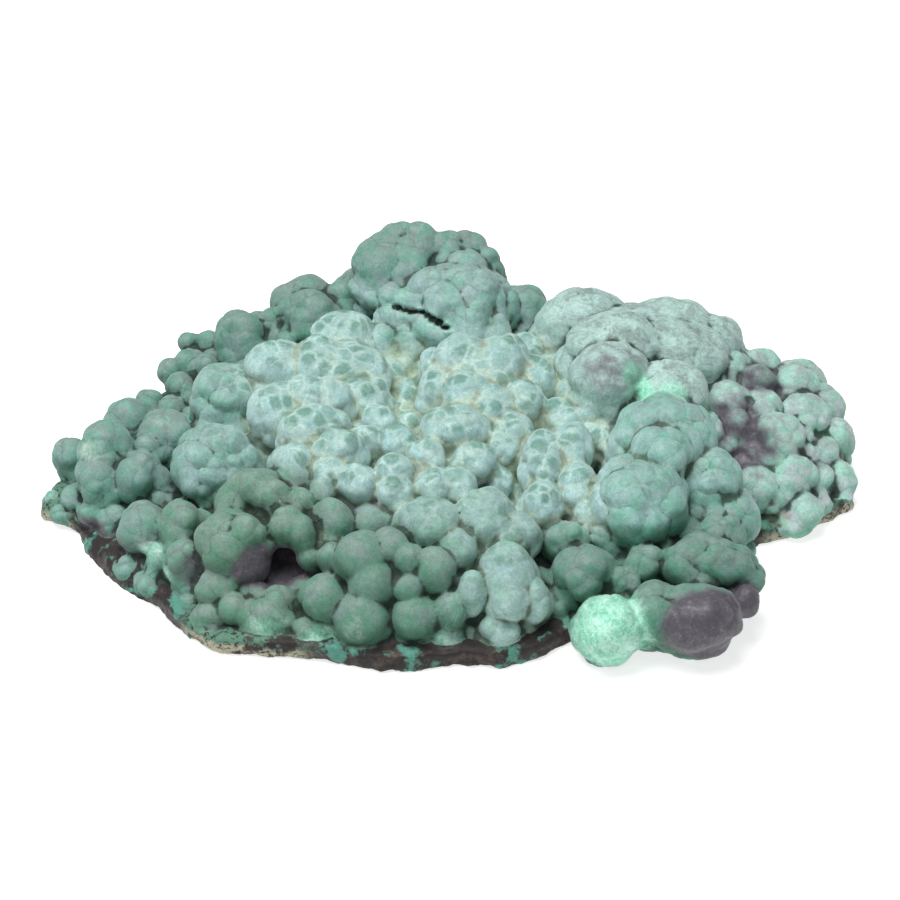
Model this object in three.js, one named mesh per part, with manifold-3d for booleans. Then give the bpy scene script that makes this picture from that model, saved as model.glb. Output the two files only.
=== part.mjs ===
// A botryoidal malachite specimen: rounded knobs of malachite grown together over a thin plate of host rock.
// It grew as one piece, so it is one solid. Millimetres, +Z up, +X along its length.
// The origin is on the flat resting face under the middle of the plate, and the front faces -Y.
import * as THREE from "three";
import { mergeVertices } from "three/addons/utils/BufferGeometryUtils.js";
import Module from "manifold-3d";

// Driving dimensions of the plate of host rock.
const PLATE_THICKNESS = 7;
const PLATE_CHAMFER = 1.5;

// How finely a rounded mass is faceted: a knob, or one of the larger masses that the knobs stand on.
const KNOB_DETAIL = 1;
const CORE_DETAIL = 2;
const KNOB_FLOOR = 0.6; // no knob reaches lower than this, so that the plate's underside stays flat

// The plate's outline in plan, anticlockwise from its front left.
const PLATE_OUTLINE = [
  [-44, -73], [-30, -75], [-20, -79], [-8, -78], [4, -76], [14, -77], [26, -73], [36, -65],
  [48, -62], [62, -60], [76, -52], [84, -38], [90, -22], [102, -18], [114, -10], [123, -4],
  [121, 10], [114, 28], [100, 42], [78, 52], [56, 57], [34, 62], [12, 71], [-10, 77],
  [-34, 77], [-58, 68], [-80, 61], [-92, 48], [-98, 32], [-112, 16], [-120, 2], [-124, -9],
  [-114, -14], [-102, -22], [-97, -36], [-86, -50], [-76, -63], [-66, -71],
];

// The mass that the knobs stand on. Each row is x, y, z, then the three half-axes of an ellipsoid.
const CORE = [
  [-9, -4, 0, 104, 67, 31],
  [-4, 42, 8, 82, 33, 27],
  [62, 26, 8, 42, 32, 29],
  [-3, 53, 26, 23, 17, 24],
  [62, -26, 4, 29, 36, 24],
  [92, 8, 4, 27, 28, 18],
];

// The larger knobs, by the part of the specimen that they stand on. One row may stand for a cluster of small knobs.
// Each row is x, y, z, radius, or x, y, z, three half-axes, and then an optional turn about +Z in degrees.
const KNOBS = {
  crown: [
    [-18, 59, 48, 13, 12, 9, 15], [-5, 63, 51, 10, 7, 8.5], [8, 57, 47, 9, 8.5, 9], [1, 46, 42.5, 16.5, 12, 11.5],
    [12, 47, 39, 9], [-15, 43, 36, 9, 8, 8],
  ],
  backLeft: [
    [-46, 66, 30, 11, 8, 7, 10], [-42, 57, 29, 11, 9, 8], [-66, 54, 23, 9], [-80, 54, 15, 10, 13, 9],
    [-90, 36, 9, 9, 11, 9],
  ],
  left: [
    [-68, 17, 26, 11.5], [-70, -12, 24, 13, 12, 12], [-62, 2, 20, 9], [-103, -3, 22, 9, 9, 8.5],
    [-105, -11, 16, 8, 7.5, 8.5], [-92, -12, 17, 8, 8.5, 10], [-86, 5, 20, 10, 10, 9.5], [-98, 15, 18, 9, 9, 8],
    [-97, 2, 14, 14, 13, 12], [-115, 8, 10, 7],
    [-87, -28, 13, 11, 10, 9],
  ],
  lowerLeft: [
    [-63, -47, 22, 10], [-57, -33, 29, 10, 8, 8], [-46, -38, 28, 9, 12, 9], [-77, -43, 13, 9],
    [-52, -60, 8, 12, 8, 7],
  ],
  front: [
    [-25, -62, 18, 11, 9, 13], [-6, -53, 26, 12, 10, 10], [-2, -66, 12, 14, 6, 8],
    [15, -57, 23, 11, 11, 11], [-35, -45, 26, 9],
  ],
  pale: [
    [-52, 21, 35, 10, 9, 8], [-34, 21, 35, 14, 11, 8], [-33, 38, 35, 10, 8, 7], [-47, 1, 34, 12, 10, 8],
    [-39, -12, 35, 12, 8, 8, 12], [-29, -25, 33, 10, 10, 7], [-18, -8, 31, 12, 12, 7],
  ],
  centre: [
    [9, 18, 33, 18, 15, 13], [12, 3, 35, 13, 9, 8], [1, -10, 34, 11, 8.5, 8.5], [18, -7, 31, 9, 9, 8],
    [2, -25, 31, 13, 9, 7], [27, 35, 32, 11, 9, 8],
  ],
  rightFront: [
    [32, -28, 26, 11, 14, 10], [54.5, -35, 27, 14.5], [63, -12, 30, 16], [61, -25, 36, 10],
    [76, -24, 26, 10],
  ],
  rightMound: [
    [48, 10, 37, 13], [49.5, 23.5, 41, 14, 12, 10], [41, 41, 38, 15, 12, 11], [67, 38, 36, 14, 13, 11],
    [80, 39, 31, 10], [65, 5, 35, 13, 12, 10],
  ],
  right: [
    [86, 12, 25, 9], [97, 3, 21, 9], [96, 20, 25, 10], [107, 30, 22, 10], [110, 14, 18, 9], [103, -5, 12, 9],
    [118, 16, 12, 6], [90, -7, 14, 11, 10, 7],
  ],
  lowerRight: [
    [80.5, -33, 18, 10], [73, -53, 18, 13, 11, 10], [70.5, -71, 14, 13, 10, 10], [58, -68, 14, 10],
    [44.5, -73, 13, 10], [38.5, -54, 18, 10],
  ],
  back: [
    [-16, 71, 37, 12], [2, 72, 34, 11], [-31, 70, 26, 12], [-8, 74, 19, 12], [14, 67, 20, 13], [24, 58, 31, 10],
    [42, 54, 25, 13], [60, 52, 22, 12], [77, 47, 18, 11], [-52, 70, 20, 11], [-70, 60, 12, 9],
  ],
};

const wasm = await Module();
wasm.setup();

// A closed three.js geometry as a manifold-3d solid.
function solidOf(geometry) {
  const bare = geometry.clone();
  bare.deleteAttribute("normal");
  bare.deleteAttribute("uv");
  const merged = mergeVertices(bare, 1e-4);
  return new wasm.Manifold(new wasm.Mesh({
    numProp: 3,
    vertProperties: merged.attributes.position.array,
    triVerts: new Uint32Array(merged.index.array),
  }));
}

// A manifold-3d solid as a three.js geometry.
function geometryOf(solid) {
  const mesh = solid.getMesh();
  const geometry = new THREE.BufferGeometry();
  geometry.setAttribute("position", new THREE.BufferAttribute(mesh.vertProperties, mesh.numProp));
  geometry.setIndex(new THREE.BufferAttribute(mesh.triVerts, 1));
  geometry.computeVertexNormals();
  return geometry;
}

// The plate: its outline extruded, with its lower and upper edges chamfered.
function plate() {
  const outline = PLATE_OUTLINE.map(([x, y]) => new THREE.Vector2(x, y));
  const geometry = new THREE.ExtrudeGeometry(new THREE.Shape(outline), {
    depth: PLATE_THICKNESS - 2 * PLATE_CHAMFER,
    bevelThickness: PLATE_CHAMFER,
    bevelSize: PLATE_CHAMFER,
    bevelOffset: -PLATE_CHAMFER,
    bevelSegments: 1,
  });
  return geometry.translate(0, 0, PLATE_CHAMFER);
}

// One rounded mass: a faceted ellipsoid from its row.
function ellipsoid([x, y, z, rx, ry = rx, rz = rx, turn = 0], detail) {
  return new THREE.IcosahedronGeometry(1, detail)
    .scale(rx, ry, rz)
    .rotateZ(THREE.MathUtils.degToRad(turn))
    .translate(x, y, z);
}

// The solid with the gaps that its knobs sealed inside it filled in: only its outer shell is kept.
function filled(solid) {
  return solid.decompose().find((shell) => shell.volume() > 0);
}

// A block that covers everything below the given height.
function below(height) {
  const size = 400;
  return new THREE.BoxGeometry(size, size, size).translate(0, 0, height - size / 2);
}

function specimen() {
  const core = CORE.map((row) => ellipsoid(row, CORE_DETAIL));
  const knobs = Object.values(KNOBS).flat().map((row) => ellipsoid(row, KNOB_DETAIL));
  const rounded = [...core, ...knobs].map(solidOf);
  const growth = rounded.reduce((grown, knob) => grown.add(knob)).subtract(solidOf(below(KNOB_FLOOR)));
  return geometryOf(filled(growth.add(solidOf(plate()))));
}

const malachite = new THREE.MeshStandardMaterial({ color: 0x6f9f8d, roughness: 0.62, metalness: 0 });
const mesh = new THREE.Mesh(specimen(), malachite);
mesh.name = "malachite_specimen";

const group = new THREE.Group();
group.add(mesh);

export default group;
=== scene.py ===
"""A botryoidal malachite specimen: smooth knobs grown together over a thin plate of host rock.

The knobs, the small growth between them and the host rock are fused into one closed mesh, because the real
thing grew as one piece. Fine relief is then raised on it, and its surface is painted with point attributes
that one procedural finish reads. The tables are in millimetres, and the meshes in metres.
"""

import logging
import math
from collections.abc import Callable, Iterable
from dataclasses import dataclass, field
from enum import Enum
from typing import Any

import bpy
import numpy as np
from mathutils import Matrix, Vector

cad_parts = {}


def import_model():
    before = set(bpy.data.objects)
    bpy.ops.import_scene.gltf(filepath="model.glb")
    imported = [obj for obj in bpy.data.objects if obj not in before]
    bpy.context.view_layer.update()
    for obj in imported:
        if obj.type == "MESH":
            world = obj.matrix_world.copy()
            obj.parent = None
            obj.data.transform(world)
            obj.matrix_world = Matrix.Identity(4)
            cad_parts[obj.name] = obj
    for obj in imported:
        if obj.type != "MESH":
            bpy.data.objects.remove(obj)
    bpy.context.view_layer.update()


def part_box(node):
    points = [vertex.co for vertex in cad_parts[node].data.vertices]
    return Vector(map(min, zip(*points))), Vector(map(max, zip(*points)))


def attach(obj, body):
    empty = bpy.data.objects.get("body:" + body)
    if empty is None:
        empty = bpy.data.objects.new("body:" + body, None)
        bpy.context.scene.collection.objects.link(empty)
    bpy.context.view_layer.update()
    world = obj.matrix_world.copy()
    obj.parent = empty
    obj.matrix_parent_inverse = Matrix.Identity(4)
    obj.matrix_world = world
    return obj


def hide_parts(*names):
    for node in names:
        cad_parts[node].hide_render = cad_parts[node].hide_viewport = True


log = logging.getLogger("malachite")

MM = 0.001  # one millimetre in metres
NEARLY_NOTHING = 1e-9  # keeps a sum of weights above 0
CAD_NODE = "malachite_specimen"
BODY = "root"

Row = tuple[float, ...]
Colour = tuple[float, float, float, float]
Socket = bpy.types.NodeSocket
TINT_NAMES = ("tint_red", "tint_green", "tint_blue")  # the point attributes that hold a zone's tint


class Zone(Enum):
    """The parts of the specimen, as its front is seen."""

    CROWN = "crown"
    BACK_LEFT = "back left"
    LEFT = "left"
    LEFT_DOMES = "left domes"
    LOWER_LEFT = "lower left"
    FRONT = "front"
    FRONT_PALE = "pale front"
    PALE = "pale"
    CENTRE = "centre"
    RIGHT_FRONT = "right front"
    RIGHT_MOUND = "right mound"
    RIGHT = "right"
    LOWER_RIGHT = "lower right"
    BACK = "back"


class Stain(Enum):
    """What colours a patch of the surface. The value is the name of the point attribute that holds it."""

    MAUVE = "mauve"
    MINT = "mint"
    OLIVE = "olive"
    OCHRE = "ochre"
    WORN = "worn"
    ROCK = "rock"


# Each row is x, y, z and a radius, or x, y, z and three half-axes, and then an optional turn about +Z in
# degrees.
CORE_ROWS: tuple[Row, ...] = (
    (-9, -4, 0, 104, 67, 21), (-14, 2, 6, 56, 44, 24), (-4, 42, 8, 80, 32, 20), (62, 26, 8, 40, 30, 26),
    (-3, 53, 24, 19, 13, 20), (62, -26, 4, 27, 33, 20), (95, 11, 4, 26, 26, 20),
    (-13, 31, 19, 13, 15, 12.5),
)
KNOB_ROWS: dict[Zone, tuple[Row, ...]] = {
    Zone.CROWN: (
        (5, 54, 47, 8), (1, 46, 43, 16.5, 12, 11.5), (-4, 45, 46.5, 8.5), (7, 46, 45, 9), (6, 40, 41, 8.5),
        (12.5, 42, 39, 6.5), (-12.5, 44, 44.5, 4.5), (15, 50, 39, 6), (11, 51, 43, 7.5), (-11, 54, 49, 3.3),
        (-19, 54, 43, 5.5), (-26, 57, 38, 5), (-21, 52, 40, 4.2), (-14, 54, 42, 5), (-13, 42, 38, 9, 7, 6),
        (-19, 42, 39, 4.5), (-14.5, 40.5, 39.5, 4.5), (-12, 37, 36, 5), (-5, 38.5, 36.5, 5),
        (-19, 37, 35, 5), (0, 36.5, 34, 5), (-18, 30, 30, 3.2, 3.2, 4.5),
    ),
    Zone.BACK_LEFT: (
        (-18, 59, 48, 13, 12, 9, 15), (-16, 66, 53, 5.5), (-9, 64, 54, 5.3), (-1, 62, 51.5, 6),
        (5, 64, 49.5, 6.5), (11, 60, 43.5, 6.5, 6, 9), (-46, 66, 30, 11, 8, 7, 10), (-44, 57, 30, 10, 8, 8),
        (-34, 65, 30, 7), (-50, 48, 26, 4), (-55, 57, 26, 4.5, 5, 6), (-66, 54, 24, 8.5),
        (-82, 60, 17, 4.5), (-77, 59, 17, 5.2), (-82, 51, 16, 5), (-77, 44, 18, 5), (-87, 50, 13, 5),
        (-83, 37, 17, 5), (-94, 37, 10, 5), (-86, 29, 14, 4.5), (-80, 26, 13, 3.5), (-62, 29, 28, 5),
    ),
    Zone.LEFT: (
        (-103, -3, 23, 8, 8.5, 7.5), (-105, -11, 17, 7.2, 7, 7.5), (-92, -12, 18, 7, 8, 9),
        (-86, 4, 21, 9, 9.5, 8.5), (-90, -3, 23.5, 4), (-98, 15, 19, 7.5, 7.5, 7), (-115, 8, 11, 6, 6, 7),
        (-97, 0, 14, 14, 12, 10), (-84, 14, 17, 6), (-83, -14, 12, 5), (-90, -28, 12, 8.5),
        (-88, -44, 5, 4), (-95, -37, 5, 3.5), (-106, -15, 8, 6, 5.5, 5), (-99, -20, 8, 6, 5.5, 5),
        (-112, -8, 8, 4.5), (-121, -4, 4, 2.8), (-117, -11, 4, 2.6), (-90, -34, 11.5, 2.4),
        (-88.3, -36, 11.5, 2.5), (-86.5, -38, 11.4, 2.6), (-84.7, -40, 11.2, 2.7), (-83, -42, 11, 2.8),
        (-81.2, -44, 10.6, 2.8), (-79.5, -46, 10.2, 2.8), (-77.8, -48, 9.7, 2.8), (-76, -50, 9, 2.8),
    ),
    Zone.LEFT_DOMES: (
        (-68, 17, 26, 11.5), (-73, 9, 20, 6), (-64, 10, 20, 6.5), (-69.5, -12, 24, 13, 12, 11.5),
        (-60, -6, 22, 7), (-73.5, -19, 21.5, 6), (-66, -18, 20.5, 7),
    ),
    Zone.LOWER_LEFT: (
        (-78, -34, 18, 7), (-63, -47, 22, 10), (-59, -48, 26, 7), (-56, -33, 30, 9, 7, 7),
        (-46, -29, 29, 7), (-62, -35, 26, 7), (-51, -38, 30, 6.5), (-45, -38, 29, 5.5),
        (-47, -46, 28, 5.5, 5.5, 6.5), (-42, -48, 26, 4.8, 4.8, 6.5), (-76, -45, 13, 6, 6, 7.5),
        (-78, -39, 13.5, 5), (-67, -55, 12, 7, 6, 6), (-58, -56, 10, 6, 5, 4), (-52, -62, 7, 11, 7, 7),
        (-49, -61, 12, 4.5), (-62, -61, 9, 5), (-68, -61, 5, 6), (-39, -66, 6, 7, 5, 5),
    ),
    Zone.FRONT: (
        (-36, -63, 15, 6.8), (-25, -68, 12, 7.8), (-25, -58, 26, 7.5), (-22, -63, 20, 7.2, 6.5, 8),
        (-17, -56, 28, 5.5), (-12, -60, 26, 4.5, 4.5, 5), (-12, -64, 20, 4.8), (-4, -61, 23, 6.2, 6, 7.2),
        (-10, -68, 12, 6.8, 6.5, 7), (0, -67, 13, 5, 5, 6.5), (-1, -69, 6, 5, 4, 4),
        (-34, -54, 22, 4, 4, 5.5), (-40, -51, 20, 4), (-34, -43, 27, 6.3), (-23, -41, 24, 6.5, 6, 6),
        (-35, -47, 24, 4), (-37, -33, 29, 4.5),
    ),
    Zone.FRONT_PALE: (
        (-6, -48, 30, 9, 8, 8), (2, -55, 26, 6), (5, -48, 27, 5.5), (10, -45, 30, 8.5),
        (16, -60, 21, 8.5, 8, 10), (17, -67, 17, 5.8), (18, -48, 26, 7), (14, -69, 8, 6, 5, 5),
        (24, -64, 15, 5, 5, 7), (6, -65, 18, 4.3, 4.5, 8.5),
    ),
    Zone.PALE: (
        (-52, 21, 36, 10, 9, 8), (-40, 21, 36, 9), (-33, 38, 36, 10, 8, 7), (-31, 20, 36, 11.5, 11, 7),
        (-51, 0, 34, 9), (-43, 3, 36, 8), (-40, -12, 36, 11, 8, 7.5, 12), (-33, -20, 35, 8, 6.5, 6.5, 15),
        (-46, -23, 32, 7.5, 6.5, 6.5), (-27, -33, 33, 5.8), (-35, -27, 32, 5.5), (-16, -30, 35, 5.5),
        (-16, -35, 31, 5.8), (-15, -15, 34, 5.5), (-25, -13, 33, 5), (-21, -2, 32, 5), (-36, 3, 36, 7),
        (-27, 9, 33, 9, 8, 7), (-17, 24, 30.5, 4, 5, 3), (-12, 17, 30.5, 4, 5, 3), (-14, 31, 31, 3.5, 4, 3),
    ),
    Zone.CENTRE: (
        (9, 16, 32, 18, 14.5, 12.5), (-5, 21.5, 35, 5.5, 6, 7), (4, 19.5, 38.5, 9), (16, 18.5, 38, 9.5),
        (5, 4, 36, 8.5), (21, 4, 33.5, 8), (12, 0, 35, 8), (24, 16, 35, 7.5), (-3, 9, 35, 7),
        (1, -10, 34, 11, 8.5, 8.5), (18, -7, 31, 7.5, 7, 7), (16, -11, 29, 7), (7, -22, 32, 7, 6, 5.5),
        (-7, -22, 33, 6), (-5, -32, 31, 5.5), (2, -30, 30, 5.5), (14, -23, 26, 4.5), (22, 32, 33, 8, 7, 6),
        (31, 25, 32, 5), (31, 16, 30, 4.5), (33, 2, 30, 6.5), (37, 14, 31, 5), (44, -5, 28, 6),
        (27.2, -19.5, 31.3, 6.2, 10.5, 7), (26.8, -34, 25.5, 6.2, 7.5, 7.5), (36.2, -15, 32.3, 6, 9.5, 6.8),
        (37.3, -28, 27.5, 6.2, 9, 7), (39.5, -37, 22.5, 4.5, 5.5, 6.5),
    ),
    Zone.RIGHT_FRONT: (
        (54.5, -35, 27, 14.5), (63, -12, 30, 16), (60, -13, 38, 8, 5, 5), (61, -25, 37, 9),
        (76, -24, 26, 10), (80.5, -32, 18, 9.5),
    ),
    Zone.RIGHT_MOUND: (
        (48, 10, 38, 12.5), (49.5, 23.5, 41, 15, 12, 10.5), (41, 41, 37.5, 15, 12, 11),
        (67, 38, 35.5, 15, 13, 11.5), (80, 37, 31, 11), (62, 29, 33, 24, 16, 14), (48, 3, 31, 6, 5, 4),
        (65, 6, 36, 12, 12, 10), (55, 33, 41, 11, 10, 7), (73, 25, 35, 11, 9, 8),
    ),
    Zone.RIGHT: (
        (84, 13, 28, 7), (85, 6, 24, 5.5, 5, 7), (90, 4, 22, 5), (94, 13, 26, 6), (98.5, 2.5, 22, 8.3),
        (93.5, 23, 27, 6.5, 6, 7.5, -35), (85, 28, 30, 8, 6, 6), (78, 22, 30, 6, 5, 5), (105, 26, 24, 8),
        (107.5, 14.5, 20, 8, 8, 10), (95, 33, 26, 7), (107, 34, 20, 9.5, 8, 8), (114, 24, 18, 7.5),
        (117.5, 12, 14, 5.5, 5.5, 8), (118, 2, 10, 4), (120, 19, 13, 3), (112, 7, 14, 6), (108, 1, 13, 5),
        (102, -5, 14, 8), (91, -9, 14, 7), (106, -14, 8, 5.5), (119, 0, 7, 5, 4, 4),
        (82.5, -12, 16, 4, 4, 5), (78, 2, 26, 4, 4, 6), (82, 1, 20, 5), (87.5, 2, 15, 14, 10, 6),
    ),
    Zone.LOWER_RIGHT: (
        (67, -38, 18, 6.5), (79, -40, 19, 7), (73, -53, 18, 12, 10, 9), (67, -55, 21, 6), (76, -54, 22, 6),
        (82, -54, 19, 6), (70.5, -71, 14, 13, 10, 10), (58, -69, 14, 9), (84, -64, 14, 4.5),
        (45.5, -73, 12.5, 9.6), (49, -58, 15, 5.5), (56, -52, 18, 6), (38.5, -55, 17, 9),
        (33.5, -44, 20, 6.5), (85.5, -55, 15, 5),
    ),
    Zone.BACK: (
        (-18, 71, 38, 10), (-4, 73, 36, 10), (9, 69, 34, 9), (-28, 72, 26, 10), (-10, 75, 22, 10),
        (8, 73, 20, 10), (24, 64, 22, 9), (22, 56, 32, 9), (38, 55, 26, 11), (56, 53, 24, 11),
        (73, 50, 20, 10), (88, 45, 15, 9), (-44, 73, 20, 9), (-58, 67, 16, 8), (-70, 62, 12, 7),
        (-20, 76, 10, 8), (16, 70, 9, 8), (44, 60, 11, 8),
    ),
}

# Hollows and valleys that small knobs leave open.
CLEARINGS: tuple[Row, ...] = (
    (-14.5, 19, 30, 5, 15, 9), (-51, -45, 14, 12, 8, 9), (-92, -24, 5, 26, 18, 6),
)

# The long thin split under the crown's front dome, from left to right. Each row is a place on its edge and
# half its width. It runs into the crown along SPLIT_COURSE, back and down, as a sheet of small masses.
SPLIT_PATH: tuple[Row, ...] = (
    (-16, 40, 44.4, 0.55), (-14, 40, 43.5, 0.6), (-12, 40, 42.7, 0.65), (-9.5, 40, 42.3, 0.65),
    (-7.5, 40, 41, 0.75), (-5.5, 40, 39.6, 0.8), (-3.5, 40, 38.4, 0.85), (-1.5, 40, 36.8, 0.85),
    (0.5, 40, 34.8, 0.8), (2.5, 40, 33.4, 0.75), (4.2, 40, 32.5, 0.65),
)
SPLIT_COURSE: tuple[float, float] = (0.8, -0.6)
SPLIT_REACH_MM = 9.0
SPLIT_STEP_MM = 1.2
SPLIT_MASS_MM: tuple[float, float] = (1.7, 1.6)  # half-axes along and across the course

# The hollow at the lower left, sunk and painted near-black as shade, as a centre, three half-axes and how
# strong it is.
SHADED_HOLLOW_ROW: Row = (-47, -46, 13, 7, 7, 7, 0.8)

# The host rock's outline in plan, anticlockwise from its front left.
ROCK_OUTLINE: tuple[tuple[float, float], ...] = (
    (-44, -73), (-30, -75), (-20, -79), (-8, -78), (4, -76), (14, -77), (26, -73), (36, -65), (48, -62),
    (62, -60), (76, -52), (84, -38), (90, -22), (102, -18), (114, -10), (122, -4), (120, 10), (114, 28),
    (100, 42), (78, 52), (56, 57), (34, 62), (12, 71), (-10, 77), (-34, 77), (-58, 68), (-80, 61),
    (-92, 48), (-98, 32), (-112, 16), (-120, 2), (-123, -9), (-114, -14), (-102, -22), (-97, -36),
    (-86, -50), (-76, -63), (-66, -71),
)

# Patches of colour. Each row is x, y, z, a radius or three half-axes, and then how strong the patch is.
PATCHES: dict[Stain, tuple[Row, ...]] = {
    Stain.MAUVE: (
        # The first row fills the lower left hollow: its dark mauve is partly the stone's own colour and
        # partly painted shade.
        (-49, -47, 14, 13, 11, 10, 1.0), (-57, -52, 19, 8, 8, 8, 0.75), (74, -76, 15, 15, 10, 12, 1.0),
        (84, -64, 14, 6, 6, 6, 0.9), (85, 8, 24, 11, 10, 9, 0.66), (90, 4, 22, 7, 6, 8, 0.8),
        (95.5, 1, 21, 10, 9, 9, 0.68), (94, 22, 28, 8, 9, 9, 0.62), (87.5, -1, 16, 14, 10, 7, 0.9),
        (81, 1, 20, 6, 6, 7, 0.7), (-42, -46, 12, 8, 8, 7, 0.9), (-76, -47, 13, 6, 6, 7, 0.5),
        (-91, -32, 11, 10, 8, 8, 0.42), (-103, -19, 6, 12, 8, 5, 0.6), (48, 7, 43, 12, 10, 9, 0.52),
        (16, 72, 16, 12, 8, 9, 0.5), (-23, -38, 26, 7, 5, 5, 0.5), (9, -25, 26, 6, 5, 5, 0.45),
    ),
    Stain.MINT: (
        (45.5, -74, 12, 12, 11, 12, 1.0), (55, 3, 45.5, 4.5, 4.5, 5, 1.0), (57, -1, 42, 3.5, 3, 3.5, 0.9),
        (66, -3, 43, 6, 5, 5, 0.62), (61, -4, 43, 3, 3, 3, 0.6), (102, -6, 14, 6, 6, 6, 0.6),
        (118, 2, 10, 5, 5, 5, 0.45), (-85, -39, 12, 8, 4, 4, 0.42), (-79, -47, 10, 6, 4, 4, 0.45),
        (-52, -66, 8, 7, 5, 4, 0.5), (-37, -69, 6, 7, 5, 4, 0.5), (-45, -43, 18, 3, 3, 4, 0.5),
        (-4, -72, 6, 7, 5, 3, 0.4), (110, 16, 12, 8, 14, 6, 0.3), (58, 56, 12, 12, 8, 8, 0.42),
        (-120, -4, 6, 5, 6, 4, 0.3),
    ),
    Stain.OLIVE: (
        (-15, 24, 26, 13, 11, 7, 0.75), (20, -15, 22, 9, 7, 7, 0.9), (31, 20, 31, 8, 12, 8, 0.7),
        (-35, -47, 24, 6, 5, 5, 0.4), (-13, 33, 30, 12, 8, 8, 0.6), (-46, 74, 14, 14, 9, 8, 0.5),
        (30, -5, 28, 10, 12, 8, 0.45), (-58, 8, 20, 8, 12, 9, 0.6), (35, -24, 25, 6, 12, 6, 0.4),
        (80, -15, 14, 9, 6, 6, 0.4),
    ),
    Stain.OCHRE: (
        (-43, -54, 12, 5, 5, 5, 0.48), (99, -16, 6, 7, 5, 4, 0.52), (-57, 2, 20, 5, 5, 5, 0.5),
    ),
    Stain.WORN: (
        (-105, -7, 25, 6, 5, 5, 0.7), (-86, 3, 28, 4, 4, 3, 0.5), (-88, -12, 20, 4, 4, 4, 0.5),
        (101, -3, 26, 4, 3, 4, 0.55), (-90, -34, 14, 5, 5, 5, 0.5), (-27, -74, 12, 5, 4, 6, 0.5),
    ),
}


def display(red: float, green: float, blue: float) -> Colour:
    """A linear colour from display values of 0 to 255.

    Args:
        red: The red display value.
        green: The green display value.
        blue: The blue display value.

    Returns:
        The same colour as linear red, green, blue and alpha.
    """
    channels = [value / 255 for value in (red, green, blue)]
    linear = [c / 12.92 if c <= 0.04045 else ((c + 0.055) / 1.055) ** 2.4 for c in channels]
    return (linear[0], linear[1], linear[2], 1.0)


@dataclass(frozen=True)
class ZoneLook:
    """How one part of the specimen looks. All but the tint and the root spread are shares of 0 to 1."""

    tint: Colour
    root_spread: float  # how much wider a root is than its knob
    fine: float  # small cells
    broad: float  # lobes
    bloom: float = 0.0
    swirl: float = 0.0


LOOKS: dict[Zone, ZoneLook] = {
    Zone.CROWN: ZoneLook(display(150, 182, 178), 1.12, 0.9, 0.8, 0.36),
    Zone.BACK_LEFT: ZoneLook(display(108, 146, 136), 1.12, 0.5, 0.7),
    Zone.LEFT: ZoneLook(display(122, 158, 150), 1.08, 0.6, 0.8, 0.1),
    Zone.LEFT_DOMES: ZoneLook(display(136, 172, 166), 1.05, 0.45, 0.9, 0.42),
    Zone.LOWER_LEFT: ZoneLook(display(108, 141, 125), 1.2, 0.4, 0.7),
    Zone.FRONT: ZoneLook(display(108, 143, 130), 1.25, 0.3, 0.25, 0.1),
    Zone.FRONT_PALE: ZoneLook(display(132, 164, 154), 1.25, 0.6, 0.5, 0.52),
    Zone.PALE: ZoneLook(display(150, 182, 176), 1.12, 0.75, 0.5, 1.0),
    Zone.CENTRE: ZoneLook(display(155, 184, 178), 1.12, 1.0, 0.5, 1.0),
    Zone.RIGHT_FRONT: ZoneLook(display(138, 184, 176), 1.08, 0.6, 0.8, 0.42),
    Zone.RIGHT_MOUND: ZoneLook(display(172, 198, 194), 1.12, 0.6, 0.5, 0.0, 1.0),
    Zone.RIGHT: ZoneLook(display(192, 214, 211), 1.3, 0.6, 0.6, 0.15, 0.25),
    Zone.LOWER_RIGHT: ZoneLook(display(102, 142, 129), 1.08, 0.6, 0.8),
    Zone.BACK: ZoneLook(display(118, 155, 145), 1.15, 0.7, 0.9),
}


def smoothstep(low: float, high: float, values: np.ndarray) -> np.ndarray:
    """Values eased from 0 at low to 1 at high, which may be the smaller of the two."""
    share = np.clip((values - low) / (high - low), 0, 1)
    return share * share * (3 - 2 * share)


def deselect() -> None:
    """Leave object mode's selection empty, the frame's nodes included."""
    if bpy.context.mode != "OBJECT":
        bpy.ops.object.mode_set(mode="OBJECT")
    bpy.ops.object.select_all(action="DESELECT")


def only(piece: bpy.types.Object) -> None:
    """Select one object alone and make it the active one.

    Args:
        piece: The object.
    """
    deselect()
    piece.select_set(True)
    bpy.context.view_layer.objects.active = piece


def finish_modifier(piece: bpy.types.Object, kind: str, **settings: Any) -> None:
    """Add a modifier to an object, set it up and apply it.

    Args:
        piece: The object that gets the modifier.
        kind: The modifier's type name.
        settings: The modifier's properties by name.
    """
    only(piece)
    modifier = piece.modifiers.new(kind.lower(), kind)
    for name, value in settings.items():
        setattr(modifier, name, value)
    bpy.ops.object.modifier_apply(modifier=modifier.name)


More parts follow.
